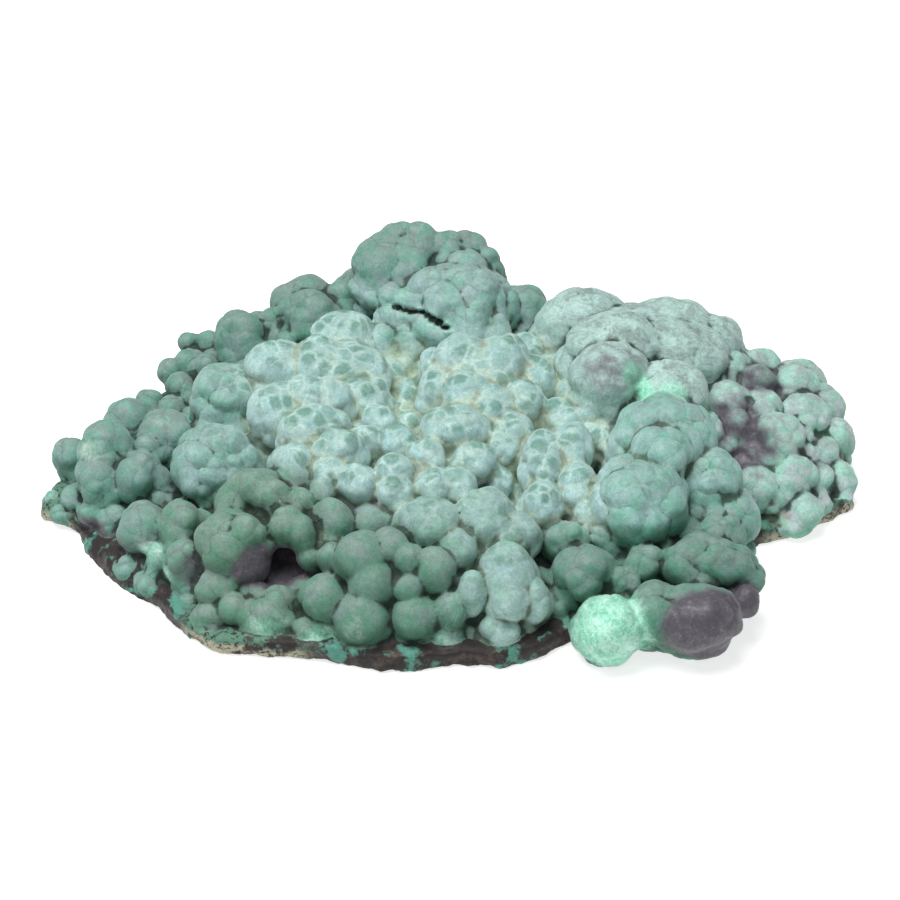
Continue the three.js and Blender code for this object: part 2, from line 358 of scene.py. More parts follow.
@dataclass(frozen=True)
class Knob:
    """One rounded mass of growth, an ellipsoid, in millimetres."""

    centre: tuple[float, float, float]
    half_axes: tuple[float, float, float]
    turn_deg: float = 0.0

    @classmethod
    def from_row(cls, row: Row) -> "Knob":
        """A knob from a row of one of the tables.

        Args:
            row: Its centre, its radius or three half-axes, and its turn if it has one.

        Returns:
            The knob.
        """
        x, y, z, *shape = row
        if len(shape) == 1:
            return cls((x, y, z), (shape[0],) * 3)
        turn = shape[3] if len(shape) > 3 else 0.0
        return cls((x, y, z), (shape[0], shape[1], shape[2]), turn)

    def matrix(self) -> Matrix:
        """The matrix that makes this knob of a ball with a radius of 1.

        Returns:
            The matrix, in metres.
        """
        place = Matrix.Translation(Vector(self.centre) * MM)
        turn = Matrix.Rotation(math.radians(self.turn_deg), 4, "Z")
        return place @ turn @ Matrix.Diagonal((*(Vector(self.half_axes) * MM), 1.0))

    def reach(self, points: np.ndarray) -> np.ndarray:
        """How far out points lie, where 1 is on this knob's surface.

        Args:
            points: Points in millimetres, one a row.

        Returns:
            One number for each point.
        """
        angle = math.radians(self.turn_deg)
        dx = points[:, 0] - self.centre[0]
        dy = points[:, 1] - self.centre[1]
        dz = points[:, 2] - self.centre[2]
        along = (dx * math.cos(angle) + dy * math.sin(angle)) / self.half_axes[0]
        across = (dy * math.cos(angle) - dx * math.sin(angle)) / self.half_axes[1]
        return np.sqrt(along**2 + across**2 + (dz / self.half_axes[2]) ** 2)


@dataclass
class Wiring:
    """Adds nodes to a shader or a geometry node tree and joins them."""

    tree: bpy.types.NodeTree

    def node(self, kind: str, **settings: Any) -> bpy.types.Node:
        """Add a node.

        Args:
            kind: The node's type name.
            settings: Its properties by name.

        Returns:
            The node.
        """
        made = self.tree.nodes.new(kind)
        for name, value in settings.items():
            setattr(made, name, value)
        return made

    def feed(self, socket: bpy.types.NodeSocket, value: Any) -> None:
        """Give an input socket a link or a plain value.

        Args:
            socket: The input socket.
            value: Another node's output, or the plain value.
        """
        if isinstance(value, bpy.types.NodeSocket):
            self.tree.links.new(value, socket)
        else:
            socket.default_value = value

    def math(self, operation: str, *values: Any, clamp: bool = False) -> Socket:
        """The result of one Math node.

        Args:
            operation: The node's operation.
            values: Its inputs in order, each a socket or a number.
            clamp: Whether the result is held between 0 and 1.

        Returns:
            The node's output.
        """
        node = self.node("ShaderNodeMath", operation=operation, use_clamp=clamp)
        for socket, value in zip(node.inputs, values):
            self.feed(socket, value)
        return node.outputs[0]

    def times(self, first: Any, second: Any) -> Socket:
        """The product of two values."""
        return self.math("MULTIPLY", first, second)

    def plus(self, first: Any, second: Any) -> Socket:
        """The sum of two values."""
        return self.math("ADD", first, second)

    def less(self, first: Any, second: Any) -> Socket:
        """The first value less the second."""
        return self.math("SUBTRACT", first, second)

    def most(self, first: Any, second: Any) -> Socket:
        """The larger of two values."""
        return self.math("MAXIMUM", first, second)

    def vector(self, operation: str, *values: Any) -> Socket:
        """The result of one Vector Math node.

        Args:
            operation: The node's operation.
            values: Its inputs in order. A number goes to the Scale input.

        Returns:
            The node's output.
        """
        node = self.node("ShaderNodeVectorMath", operation=operation)
        for place, value in enumerate(values):
            scale = isinstance(value, (int, float)) or getattr(value, "type", "") == "VALUE"
            self.feed(node.inputs["Scale"] if scale else node.inputs[place], value)
        return node.outputs[0]

    def ease(self, value: Any, low: float, high: float, start: float = 0.0, end: float = 1.0) -> Socket:
        """A smooth step from start, at low, to end, at high.

        Args:
            value: What is stepped.
            low: The value at which the step begins.
            high: The value at which it ends.
            start: The result before the step.
            end: The result after it.

        Returns:
            The node's output.
        """
        node = self.node("ShaderNodeMapRange", interpolation_type="SMOOTHSTEP")
        for socket, given in zip(node.inputs, (value, low, high, start, end)):
            self.feed(socket, given)
        return node.outputs[0]

    def mix(self, share: Any, first: Any, second: Any, blend: str = "MIX") -> Socket:
        """Two colours mixed.

        Args:
            share: How much of the second colour is taken.
            first: The first colour.
            second: The second colour.
            blend: The Mix node's blend type.

        Returns:
            The node's output.
        """
        node = self.node("ShaderNodeMix", data_type="RGBA", blend_type=blend)
        self.feed(node.inputs[0], share)
        self.feed(node.inputs[6], first)
        self.feed(node.inputs[7], second)
        return node.outputs[2]

    def noise(self, place: Any, size: float, detail: float = 2.0, rough: float = 0.5) -> bpy.types.Node:
        """A Noise Texture.

        Args:
            place: The coordinates that it reads.
            size: About how wide its features are, in the units of place.
            detail: How many finer layers it has.
            rough: How strong each finer layer is.

        Returns:
            The node.
        """
        node = self.node("ShaderNodeTexNoise")
        self.feed(node.inputs["Vector"], place)
        node.inputs["Scale"].default_value = 1 / size
        node.inputs["Detail"].default_value = detail
        node.inputs["Roughness"].default_value = rough
        return node

    def cells(self, place: Any, size: float, feature: str = "F1") -> bpy.types.Node:
        """A Voronoi Texture.

        Args:
            place: The coordinates that it reads.
            size: About how wide its cells are, in the units of place.
            feature: What it measures.

        Returns:
            The node.
        """
        node = self.node("ShaderNodeTexVoronoi", feature=feature)
        self.feed(node.inputs["Vector"], place)
        node.inputs["Scale"].default_value = 1 / size
        return node

    def red(self, colour: Socket) -> Socket:
        """The red channel of a colour, as a number.

        Args:
            colour: The colour.

        Returns:
            The channel.
        """
        node = self.node("ShaderNodeSeparateColor")
        self.feed(node.inputs[0], colour)
        return node.outputs[0]


@dataclass
class HostRock:
    """The thin plate of broken rock that the malachite grew on."""

    thickness_mm: float = 6.0
    edge_cut_mm: float = 1.2

    def build(self) -> bpy.types.Object:
        """Model the plate as a filled outline that is extruded upwards, with its edges bevelled.

        Returns:
            The plate.
        """
        deselect()
        bpy.ops.mesh.primitive_circle_add(vertices=len(ROCK_OUTLINE), radius=1.0, fill_type="NGON")
        plate = bpy.context.object
        plate.name = "host_rock"
        for vertex, (x, y) in zip(plate.data.vertices, ROCK_OUTLINE):
            vertex.co = Vector((x, y, 0)) * MM
        bpy.ops.object.mode_set(mode="EDIT")
        bpy.ops.mesh.select_all(action="SELECT")
        rise = (0, 0, self.thickness_mm * MM)
        bpy.ops.mesh.extrude_region_move(TRANSFORM_OT_translate={"value": rise})
        bpy.ops.mesh.select_all(action="SELECT")
        bpy.ops.mesh.normals_make_consistent(inside=False)
        bpy.ops.object.mode_set(mode="OBJECT")
        finish_modifier(plate, "BEVEL", width=self.edge_cut_mm * MM, segments=2, limit_method="ANGLE")
        return plate


@dataclass
class Growth:
    """The rounded masses: the core, the knobs on their roots, and the small knobs that fill the gaps."""

    seed: int = 11
    candidates: int = 6000
    front_radius_mm: tuple[float, float] = (2.6, 4.6)
    back_radius_mm: tuple[float, float] = (3.2, 9.0)
    back_from_mm: float = 48.0
    packing: float = 0.92
    sink: float = 0.42
    small_shape: tuple[float, float, float] = (1.08, 1.0, 0.96)
    lowest_mm: float = 5.0
    core_detail: int = 5
    knob_detail: int = 4
    small_detail: int = 3
    core: list[Knob] = field(default_factory=lambda: [Knob.from_row(row) for row in CORE_ROWS])
    clearings: list[Knob] = field(default_factory=lambda: [Knob.from_row(row) for row in CLEARINGS])
    knobs: list[Knob] = field(default_factory=list)
    zones: list[Zone] = field(default_factory=list)
    small: list[Knob] = field(default_factory=list)
    roots: list[Knob] = field(default_factory=list)
    root_sink: float = 0.5
    root_rise: float = 0.95
    root_lean: tuple[float, float] = (0.975, 0.955)

    def __post_init__(self) -> None:
        """Read the table of knobs, set each on its root, and then fill the gaps between them."""
        for zone, rows in KNOB_ROWS.items():
            self.knobs += [Knob.from_row(row) for row in rows]
            self.zones += [zone] * len(rows)
        self.roots = [self.root(knob, LOOKS[zone].root_spread) for knob, zone in zip(self.knobs, self.zones)]
        self.small = self.fill()

    def root(self, knob: Knob, spread: float) -> Knob:
        """The wider, lower mass that a knob grows out of, which closes the gaps to its neighbours.

        Args:
            knob: The knob.
            spread: How much wider its root is.

        Returns:
            The root.
        """
        (x, y, z), (rx, ry, rz) = knob.centre, knob.half_axes
        centre = (x * self.root_lean[0], y * self.root_lean[1], z - rz * self.root_sink)
        return Knob(centre, (rx * spread, ry * spread, rz * self.root_rise), knob.turn_deg)

    def surface_points(self, mass: Knob) -> np.ndarray:
        """Points spread evenly over a core mass, each turned by the golden angle from the one before.

        Args:
            mass: The core mass.

        Returns:
            The points in millimetres, one a row.
        """
        index = np.arange(self.candidates) + 0.5
        height = 1 - 2 * index / self.candidates
        ring = np.sqrt(1 - height**2)
        angle = index * math.pi * (3 - math.sqrt(5))
        ball = np.stack([ring * np.cos(angle), ring * np.sin(angle), height], axis=1)
        return ball * np.array(mass.half_axes) + np.array(mass.centre)

    def fill(self) -> list[Knob]:
        """Set small knobs side by side wherever the core would show.

        Returns:
            The small knobs.
        """
        random = np.random.default_rng(self.seed)
        placed: list[Knob] = []
        centres = np.zeros((0, 3))
        radii = np.zeros(0)
        for mass in self.core:
            points = self.surface_points(mass)
            others = [other for other in (*self.core, *self.knobs, *self.roots) if other is not mass]
            bare = points[:, 2] > self.lowest_mm
            for other in (*others, *self.clearings):
                bare &= other.reach(points) > 1.0
            for point in random.permutation(points[bare]):
                sizes = self.back_radius_mm if point[1] > self.back_from_mm else self.front_radius_mm
                radius = random.uniform(*sizes)
                gap = np.linalg.norm(centres - point, axis=1)
                if (gap < (radii + radius) * self.packing).any():
                    continue
                inward = np.array(mass.centre) - point
                spot = point + inward / np.linalg.norm(inward) * radius * self.sink
                centres = np.vstack([centres, point])
                radii = np.append(radii, radius)
                shape = tuple(radius * share for share in self.small_shape)
                placed.append(Knob(tuple(spot), shape, random.uniform(0, 180)))
        return placed

    def build(self) -> bpy.types.Object:
        """Copy one modelled ball to every mass and join the copies.

        Returns:
            The joined object.
        """
        patterns = {}
        for detail in (self.small_detail, self.knob_detail, self.core_detail):
            deselect()
            bpy.ops.mesh.primitive_ico_sphere_add(subdivisions=detail, radius=1.0)
            patterns[detail] = bpy.context.object
        copies = []
        for detail, masses in (
            (self.core_detail, self.core), (self.knob_detail, self.knobs), (self.knob_detail, self.roots),
            (self.small_detail, self.small),
        ):
            for mass in masses:
                mesh = patterns[detail].data.copy()
                mesh.transform(mass.matrix())
                copy = bpy.data.objects.new("knob", mesh)
                bpy.context.scene.collection.objects.link(copy)
                copies.append(copy)
        deselect()
        for pattern in patterns.values():
            bpy.data.objects.remove(pattern)
        for copy in copies:
            copy.select_set(True)
        bpy.context.view_layer.objects.active = copies[0]
        bpy.ops.object.join()
        return bpy.context.object


@dataclass(frozen=True)
class Relief:
    """The fine relief of the surface, raised along its normals. Sizes are in millimetres."""

    warp_size: float = 9.0
    warp: float = 5.0
    swell_size: float = 9.0
    swell: float = 1.8
    fine_cell: float = 4.6
    fine_height: float = 0.55
    broad_cell: float = 9.0
    broad_height: float = 2.3
    split_depth: float = 2.2
    rock_size: float = 6.0
    rock_height: float = 3.4

    cell_rim: float = 0.85  # how far out of a cell's middle its dome ends, in cells
    dome_level: float = 0.6  # the height on a dome that is level with the surface

    def dome(self, w: Wiring, grown: Socket, size: float) -> Socket:
        """A rounded dome in each cell: 1 over the cell's middle, and lower the farther out."""
        out = w.math("DIVIDE", w.cells(grown, size).outputs["Distance"], self.cell_rim, clamp=True)
        return w.less(1.0, w.times(out, out))

    def tree(self) -> bpy.types.NodeTree:
        """The geometry nodes that store where each point grew and move it along its normal.

        Returns:
            The node tree.
        """
        tree = bpy.data.node_groups.new("relief", "GeometryNodeTree")
        tree.interface.new_socket("Geometry", in_out="INPUT", socket_type="NodeSocketGeometry")
        tree.interface.new_socket("Geometry", in_out="OUTPUT", socket_type="NodeSocketGeometry")
        w = Wiring(tree)
        place = w.vector("SCALE", w.node("GeometryNodeInputPosition").outputs[0], 1 / MM)
        drift = w.vector("SUBTRACT", w.noise(place, self.warp_size).outputs[1], (0.5, 0.5, 0.5))
        grown = w.vector("ADD", place, w.vector("SCALE", drift, self.warp))
        store = w.node("GeometryNodeStoreNamedAttribute", data_type="FLOAT_VECTOR", domain="POINT")
        w.feed(store.inputs["Geometry"], w.node("NodeGroupInput").outputs[0])
        w.feed(store.inputs["Name"], "grown")
        w.feed(next(s for s in store.inputs if s.enabled and s.name == "Value"), grown)

        swell = w.less(w.noise(place, self.swell_size, 1).outputs[0], 0.5)
        rough = w.less(w.noise(place, self.rock_size, 6, 0.62).outputs[0], 0.5)
        height = w.less(w.times(swell, self.swell), w.times(self.named(w, "split"), self.split_depth))
        for shape, level, name, tall in (
            (self.dome(w, grown, self.fine_cell), self.dome_level, "fine", self.fine_height),
            (self.dome(w, grown, self.broad_cell), self.dome_level, "broad", self.broad_height),
            (rough, 0.0, "rock", self.rock_height),
        ):
            strength = w.times(self.named(w, name), tall)
            height = w.plus(height, w.times(w.less(shape, level), strength))
        normal = w.node("GeometryNodeInputNormal").outputs[0]
        move = w.node("GeometryNodeSetPosition")
        w.feed(move.inputs["Geometry"], store.outputs["Geometry"])
        w.feed(move.inputs["Offset"], w.vector("SCALE", normal, w.times(height, MM)))
        w.feed(w.node("NodeGroupOutput").inputs[0], move.outputs["Geometry"])
        return tree

    def named(self, w: Wiring, name: str) -> Socket:
        """A point attribute as a number.

        Args:
            w: The nodes' wiring.
            name: The attribute's name.

        Returns:
            The node's output.
        """
        node = w.node("GeometryNodeInputNamedAttribute", data_type="FLOAT")
        node.inputs["Name"].default_value = name
        return next(s for s in node.outputs if s.enabled and s.name == "Attribute")


@dataclass
class Surface:
    """Numbers for every point of a mesh, worked out with arrays and stored as point attributes."""

    mesh: bpy.types.Mesh

    def points(self) -> np.ndarray:
        """The places of the points.

        Returns:
            The places in millimetres, one a row.
        """
        flat = np.empty(len(self.mesh.vertices) * 3, np.float32)
        self.mesh.vertices.foreach_get("co", flat)
        return flat.reshape(-1, 3) / MM

    def normals(self) -> np.ndarray:
        """The points' normals.

        Returns:
            The normals, one a row.
        """
        flat = np.empty(len(self.mesh.vertices) * 3, np.float32)
        self.mesh.vertex_normals.foreach_get("vector", flat)
        return flat.reshape(-1, 3)

    def move(self, points: np.ndarray) -> None:
        """Put the points elsewhere, given in millimetres."""
        self.mesh.vertices.foreach_set("co", (points * MM).astype(np.float32).ravel())
        self.mesh.update()

    def store(self, name: str, values: np.ndarray) -> None:
        """Keep one number for each point under a name."""
        attribute = self.mesh.attributes.get(name) or self.mesh.attributes.new(name, "FLOAT", "POINT")
        attribute.data.foreach_set("value", values.astype(np.float32))

    def averaged(self, values: np.ndarray, rounds: int) -> np.ndarray:
        """Values with each point's replaced by the mean of its neighbours', over and over.

        Args:
            values: One row for each point.
            rounds: How many times the mean is taken.

        Returns:
            The smoothed values, in the same shape.
        """
        ends = np.empty(len(self.mesh.edges) * 2, np.int32)
        self.mesh.edges.foreach_get("vertices", ends)
        first, second = ends.reshape(-1, 2).T
        count = len(self.mesh.vertices)
        number = np.bincount(first, minlength=count) + np.bincount(second, minlength=count)
        smooth = values.astype(float)
        for _ in range(rounds):
            for column in range(smooth.shape[1]):
                given = smooth[:, column]
                total = np.bincount(first, given[second], count) + np.bincount(second, given[first], count)
                smooth[:, column] = total / np.maximum(number, 1)
        return smooth

    def hollow(self, rounds: int) -> np.ndarray:
        """How far, in millimetres, each point lies below the mean surface around it."""
        points = self.points()
        return ((self.averaged(points, rounds) - points) * self.normals()).sum(axis=1)


@dataclass
class Skin(Wiring):
    """The nodes of the specimen's material, with the textures and point attributes that the finish reads.

    Sizes are in millimetres. In every call of ease, the first two numbers say where a step begins and ends,
    and the next two say its results there.
    """

    relief: Relief
    mottle_size: float = 5.0
    patch_size: float = 9.0
    wide_size: float = 22.0
    speckle_size: float = 1.3
    grain_size: float = 0.5
    line_size: float = 10.0
    line_count: float = 20.0
    small_cell: float = 2.4

    def __post_init__(self) -> None:
        """Make the textures and read the piece's point attributes."""
        grown = self.node("ShaderNodeAttribute", attribute_name="grown").outputs["Vector"]
        place = self.vector("SCALE", self.node("ShaderNodeTexCoord").outputs["Object"], 1 / MM)
        names = ("crease", "hollow", "split", "crust", "top", "bloom", "swirl", "fine", "broad", *TINT_NAMES)
        self.read = {
            name: self.node("ShaderNodeAttribute", attribute_name=name).outputs["Fac"]
            for name in (*names, *(stain.value for stain in Stain))
        }
        self.mottle = self.noise(place, self.mottle_size, 4, 0.65).outputs[0]
        self.patches = self.noise(place, self.patch_size, 4, 0.6).outputs[0]
        self.wide = self.noise(place, self.wide_size, 3, 0.55).outputs[0]
        self.speckle = self.noise(place, self.speckle_size, 5, 0.72).outputs[0]
        self.grain = self.noise(place, self.grain_size, 3, 0.7).outputs[0]
        level = self.noise(grown, self.line_size, 0.7).outputs[0]
        contour = self.math("FRACT", self.times(level, self.line_count))
        self.lines = self.ease(self.math("ABSOLUTE", self.less(contour, 0.5)), 0.26, 0.0)

        fine = self.cells(grown, self.relief.fine_cell)
        self.fine_out = fine.outputs["Distance"]
        self.cell_tone = self.red(fine.outputs["Color"])
        self.broad_out = self.cells(grown, self.relief.broad_cell).outputs["Distance"]
        self.fine_edge, self.small_edge, broad_edge = (
            self.cells(grown, size, "DISTANCE_TO_EDGE").outputs["Distance"]
            for size in (self.relief.fine_cell, self.small_cell, self.relief.broad_cell)
        )
        # painted shade: thin dark lines along the rims of the broad lobes, where the creases between them
        # lie in shade
        seam = self.times(self.ease(broad_edge, 0.045, 0.0), self.ease(self.patches, 0.4, 0.55, 0.05, 0.34))
        self.seam = self.times(seam, self.read["broad"])

    def ragged(self, amount: Socket, speckle: Socket, low: float, high: float) -> Socket:
        """A patch whose edge is broken up.

        Args:
            amount: How strongly the patch covers each place.
            speckle: The texture that breaks up its edge.
            low: The broken amount at which it begins to show.
            high: The broken amount at which it shows fully.

        Returns:
            The patch: 1 well inside and 0 well outside.
        """
        broken = self.plus(amount, self.times(self.less(speckle, 0.5), 0.9))
        return self.times(self.ease(broken, low, high), self.ease(amount, 0.02, 0.2))

    def softly(self, name: str) -> Socket:
        """A wide patch, by its attribute's name, whose edge wanders a little with the mottling."""
        wander = self.times(self.less(self.mottle, 0.5), 0.5)
        return self.ease(self.plus(self.read[name], wander), 0.15, 0.85)


@dataclass(frozen=True)
class MalachiteFinish:
    """The finish of the whole specimen. Its colours are given as display values."""

    green_cast: Colour = display(200, 236, 220)
    # painted shade: the darker, greener cast of flanks and undersides, partly their own green and partly
    # painted shade
    shaded_flank_cast: Colour = display(132, 188, 164)
    grey_cast: Colour = display(250, 238, 246)
    grey_top: Colour = display(114, 134, 126)
    light_line: Colour = display(172, 204, 190)
    # painted shade: the near-black of the creases, the lobe seams, the split and the lower left hollow
    crease: Colour = display(14, 34, 25)
    shade: Colour = display(112, 146, 130)
    bloom: Colour = display(162, 192, 186)
    bloom_blue: Colour = display(150, 187, 189)
    bloom_flank: Colour = display(178, 208, 206)
    bloom_cream: Colour = display(182, 196, 172)
    bloom_cell: Colour = display(88, 130, 114)
    bloom_line: Colour = display(188, 210, 200)
    swirl: Colour = display(164, 192, 186)
    swirl_line: Colour = display(112, 122, 122)
    mauve: Colour = display(78, 74, 82)
    mauve_pale: Colour = display(116, 110, 118)
    mint: Colour = display(132, 210, 178)
    mint_pale: Colour = display(176, 222, 204)
    olive: Colour = display(152, 170, 146)
    ochre: Colour = display(132, 96, 60)
    worn: Colour = display(166, 194, 176)
    rock: Colour = display(32, 25, 23)
    rock_pale: Colour = display(76, 62, 54)
    crust: Colour = display(86, 128, 108)
    crust_edge: Colour = display(176, 172, 148)
    turquoise: Colour = display(76, 136, 120)
    lit_gain: Colour = (1.4, 1.36, 1.38, 1)
    powder_dark: Colour = (0.62, 0.66, 0.64, 1)
    powder_light: Colour = (1.36, 1.32, 1.34, 1)
    powder_share: float = 0.35
    dull: float = 0.74  # the highest roughness of the bare malachite
    smooth: float = 0.6  # its lowest
    specular: float = 0.4
    sheen: float = 0.12
    sheen_roughness: float = 0.5
    bump: float = 0.7

    def material(self, relief: Relief) -> bpy.types.Material:
        """Build the material.

        Args:
            relief: The relief on the piece, whose cells the finish follows.

        Returns:
            The material.
        """
        material = bpy.data.materials.new("malachite")
        material.use_nodes = True
        material.node_tree.nodes.clear()
        w = Skin(material.node_tree, relief)
        shader = w.node("ShaderNodeBsdfPrincipled")
        w.feed(w.node("ShaderNodeOutputMaterial").inputs[0], shader.outputs[0])
        body = self.body(w)
        colour = w.mix(w.softly("bloom"), body, self.bloomed(w))
        colour = w.mix(w.softly("swirl"), colour, self.swirled(w, body))
        colour = self.stained(w, self.shaded(w, colour))
        colour = w.mix(w.ragged(w.read["rock"], w.speckle, 0.4, 0.6), colour, self.host_rock(w))
        for name, value in (
            ("Base Color", self.powdered(w, colour)), ("Roughness", self.roughness(w)),
            ("Normal", self.normal(w)), ("Specular IOR Level", self.specular),
            ("Sheen Weight", self.sheen), ("Sheen Roughness", self.sheen_roughness),
        ):
            w.feed(shader.inputs[name], value)
        return material

    def body(self, w: Skin) -> Socket:
        """The body of the malachite: the zone's own tint, mottled, greyer on top, and greener and darker on
        the flanks and undersides, where their own green is deepened with painted shade.

        Args:
            w: The material's nodes.

        Returns:
            Its colour.
        """
        tint = w.node("ShaderNodeCombineColor")
        for socket, name in zip(tint.inputs, TINT_NAMES):
            w.feed(socket, w.read[name])
        casts = (self.green_cast, self.shaded_flank_cast, self.grey_cast)
        green, shaded_flank, grey = (w.mix(1.0, tint.outputs[0], cast, "MULTIPLY") for cast in casts)
        body = w.mix(w.ease(w.mottle, 0.38, 0.62), green, grey)
        body = w.mix(w.ease(w.patches, 0.5, 0.66, 0.0, 0.6), body, green)
        dusted = w.times(w.ease(w.read["top"], 0.35, 0.95), w.ease(w.mottle, 0.35, 0.65, 0.2, 0.8))
        body = w.mix(dusted, body, self.grey_top)
        # painted shade: faces that turn sideways or down get the darker, greener cast
        body = w.mix(w.ease(w.read["top"], 0.55, -0.2, 0.0, 0.9), body, shaded_flank)
        return w.mix(w.times(w.lines, w.ease(w.wide, 0.5, 0.7, 0.0, 0.12)), body, self.light_line)

    def bloomed(self, w: Skin) -> Socket:
        """The pale bloom: dusty flanks, cream in the hollows, and green ovals inside a paler network on top.

        Args:
            w: The material's nodes.

        Returns:
            Its colour.
        """
        top = w.read["top"]
        bloom = w.mix(w.ease(w.mottle, 0.35, 0.65), self.bloom, self.bloom_blue)
        bloom = w.mix(w.ease(top, 0.75, 0.0), bloom, self.bloom_flank)
        bloom = w.mix(w.ease(top, 0.55, 1.0, 0.0, 0.4), bloom, self.bloom_cell)
        bloom = w.mix(w.ease(w.read["hollow"], -0.3, 0.8, 0.0, 0.85), bloom, self.bloom_cream)
        ovals = w.plus(w.fine_out, w.times(w.less(w.speckle, 0.5), 0.35))
        greened = w.times(w.ease(ovals, 0.64, 0.3), w.ease(w.cell_tone, 0.05, 0.42))
        greened = w.times(greened, w.ease(top, 0.25, 0.8, 0.0, 0.8))
        network = w.times(w.ease(w.fine_edge, 0.17, 0.0), w.ease(top, 0.0, 0.6, 0.05, 0.45))
        network = w.times(network, w.ease(w.patches, 0.4, 0.58, 0.35, 1.0))
        small_net = w.times(w.ease(w.small_edge, 0.14, 0.0, 0.0, 0.25), w.ease(w.patches, 0.45, 0.62))
        return w.mix(w.most(network, small_net), w.mix(greened, bloom, self.bloom_cell), self.bloom_line)

    def swirled(self, w: Skin, body: Socket) -> Socket:
        """The swirl: faint growth lines and a small network over a grey-green ground.

        Args:
            w: The material's nodes.
            body: The colour of the malachite's body.

        Returns:
            Its colour.
        """
        ground = w.mix(w.ease(w.mottle, 0.35, 0.65), self.swirl, body)
        ground = w.mix(w.times(w.lines, w.ease(w.patches, 0.38, 0.6, 0.1, 0.42)), ground, self.swirl_line)
        small_net = w.times(w.ease(w.small_edge, 0.14, 0.0, 0.0, 0.5), w.ease(w.patches, 0.6, 0.4))
        return w.mix(small_net, ground, self.light_line)

    def shaded(self, w: Skin, colour: Socket) -> Socket:
        """Painted shade on flanks and hollows, painted light on convex lobes, and thin near-black painted
        shade in the creases, the lobe seams, the split and the lower left hollow.

        Args:
            w: The material's nodes.
            colour: The colour so far.

        Returns:
            The shaded colour.
        """
        bloom = w.read["bloom"]
        shade = w.times(w.ease(w.read["hollow"], -0.2, 2.0), w.ease(bloom, 0.0, 1.0, 1.0, 0.25))
        colour = w.mix(shade, colour, w.mix(1.0, colour, self.shade, "MULTIPLY"))
        lit = w.mix(1.0, colour, self.lit_gain, "MULTIPLY")
        colour = w.mix(w.ease(w.read["crease"], -0.06, -0.3, 0.0, 0.55), colour, lit)
        # painted shade: near-black in the creases and along the lobe seams, weaker on the bloom, and full in
        # the split and the lower left hollow
        crease_shade = w.most(w.ease(w.read["crease"], 0.04, 0.25), w.seam)
        crease_shade = w.times(crease_shade, w.ease(bloom, 0.0, 1.0, 0.9, 0.4))
        return w.mix(w.most(crease_shade, w.ease(w.read["split"], 0.35, 0.8)), colour, self.crease)

    def stained(self, w: Skin, colour: Socket) -> Socket:
        """The patches of other colours.

        Args:
            w: The material's nodes.
            colour: The colour so far.

        Returns:
            The colour with the patches on it.
        """
        netted = w.plus(w.times(w.speckle, 0.45), w.times(w.mottle, 0.55))
        netted = w.most(w.ease(netted, 0.44, 0.6), w.ease(w.small_edge, 0.12, 0.0, 0.0, 0.7))
        mint = w.mix(netted, self.mint, self.mint_pale)
        mauve = w.mix(w.ease(w.speckle, 0.5, 0.8), self.mauve, self.mauve_pale)
        broken = w.plus(w.times(w.mottle, 0.6), w.times(w.speckle, 0.4))
        for stain, paint, low, high in (
            (Stain.OLIVE, self.olive, 0.15, 0.9), (Stain.MINT, mint, 0.1, 0.9),
            (Stain.MAUVE, mauve, 0.2, 0.7), (Stain.WORN, self.worn, 0.35, 0.9),
            (Stain.OCHRE, self.ochre, 0.35, 0.85),
        ):
            colour = w.mix(w.ragged(w.read[stain.value], broken, low, high), colour, paint)
        return colour

    def host_rock(self, w: Skin) -> Socket:
        """The host rock: brown with turquoise flecks, and in places a green crust with a pale edge.

        Args:
            w: The material's nodes.

        Returns:
            Its colour.
        """
        rock = w.mix(w.ease(w.mottle, 0.5, 0.72), self.rock, self.rock_pale)
        rock = w.mix(w.ease(w.patches, 0.53, 0.61), rock, self.turquoise)
        crusted = w.mix(w.ease(w.read["top"], 0.35, -0.1), self.crust, self.crust_edge)
        crusted = w.mix(w.ease(w.speckle, 0.49, 0.6), crusted, self.rock)
        return w.mix(w.times(w.read["crust"], w.ease(w.patches, 0.4, 0.5)), rock, crusted)

    def powdered(self, w: Skin, colour: Socket) -> Socket:
        """Fine speckling and powder grain over everything.

        Args:
            w: The material's nodes.
            colour: The colour so far.

        Returns:
            The colour with both on it.
        """
        for texture in (w.speckle, w.grain):
            toned = w.mix(w.ease(texture, 0.3, 0.7), self.powder_dark, self.powder_light)
            colour = w.mix(self.powder_share, colour, w.mix(1.0, colour, toned, "MULTIPLY"))
        return colour

    def roughness(self, w: Skin) -> Socket:
        """The roughness, which is lower on the mint, mauve and worn patches.

        Args:
            w: The material's nodes.

        Returns:
            The roughness.
        """
        gloss = w.most(w.times(w.read["mint"], 0.32), w.times(w.read["mauve"], 0.22))
        gloss = w.most(gloss, w.times(w.read["worn"], 0.3))
        return w.less(w.ease(w.speckle, 0.3, 0.7, self.dull, self.smooth), gloss)

    def normal(self, w: Skin) -> Socket:
        """The shading normal, with grain, speckling and the rims of the lobes as a bump.

        Args:
            w: The material's nodes.

        Returns:
            The normal.
        """
        height = w.plus(w.times(w.grain, 0.1), w.times(w.speckle, 0.16))
        for out, name, tall in ((w.fine_out, "fine", 0.45), (w.broad_out, "broad", 1.0)):
            height = w.less(height, w.times(w.times(out, out), w.times(w.read[name], tall)))
        bump = w.node("ShaderNodeBump")
        for name, value in (("Strength", self.bump), ("Distance", MM), ("Height", height)):
            w.feed(bump.inputs[name], value)
        return bump.outputs[0]


